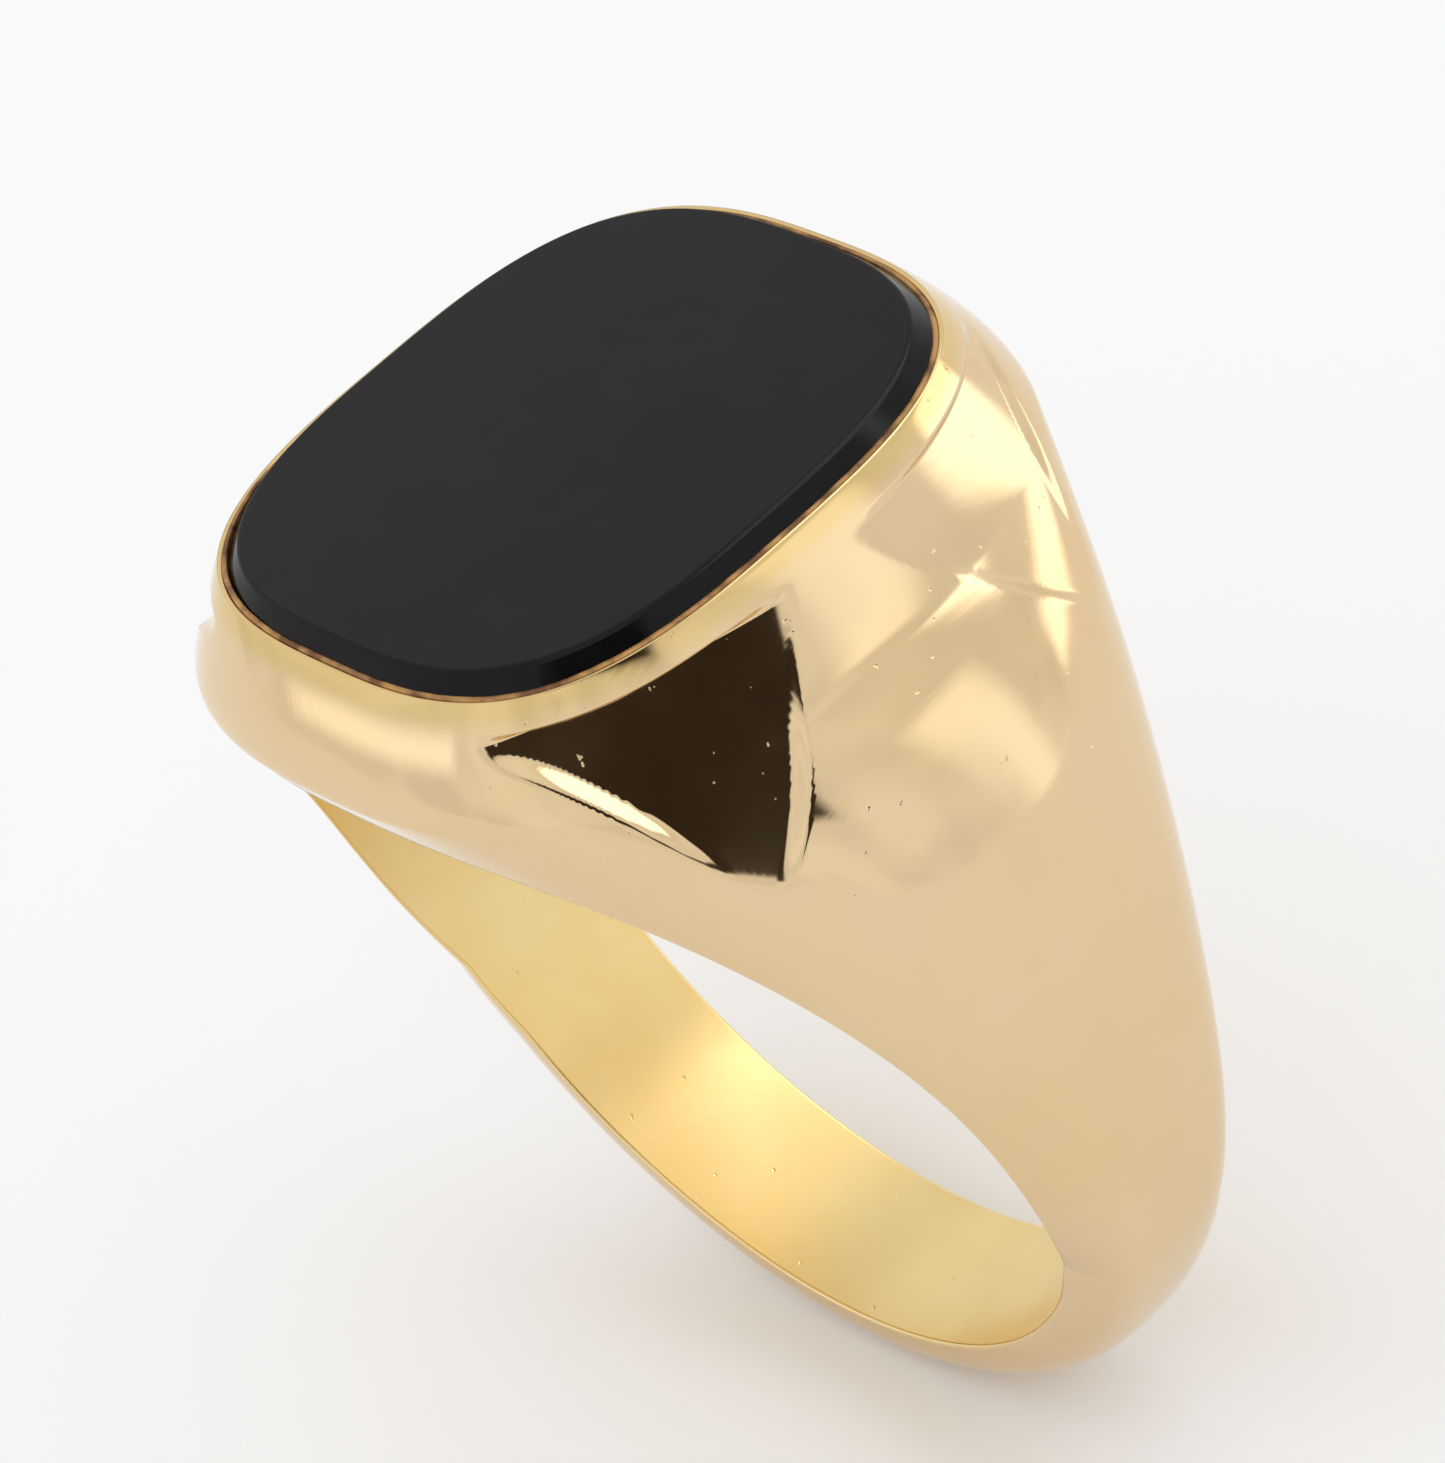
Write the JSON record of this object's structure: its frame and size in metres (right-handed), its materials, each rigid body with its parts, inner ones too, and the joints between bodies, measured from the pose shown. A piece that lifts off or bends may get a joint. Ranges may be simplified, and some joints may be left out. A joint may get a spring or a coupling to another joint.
{
  "type": "ring",
  "caption": "Gold signet ring with a cushion-shaped black onyx slab set in a rounded collar",
  "frame": {"origin": "centre of the finger bore, on its axis and midway along the finger", "axes": "+Z through the middle of the stone, +Y along the finger bore, +X across the finger; the two ends and the two sides are alike, so either sense of +Y is good"},
  "size_m": [0.0226, 0.0168, 0.0251],
  "materials": {
    "yellow_gold": "polished",
    "black_onyx": "honed",
    "brown_cement": "matte"
  },
  "bodies": {
    "root": {"onyx_stone": "black_onyx", "setting_cement": "brown_cement", "collar": "yellow_gold", "head": "yellow_gold", "left_shoulder": "yellow_gold", "right_shoulder": "yellow_gold", "rear_shank": "yellow_gold"}
  },
  "joints": []
}
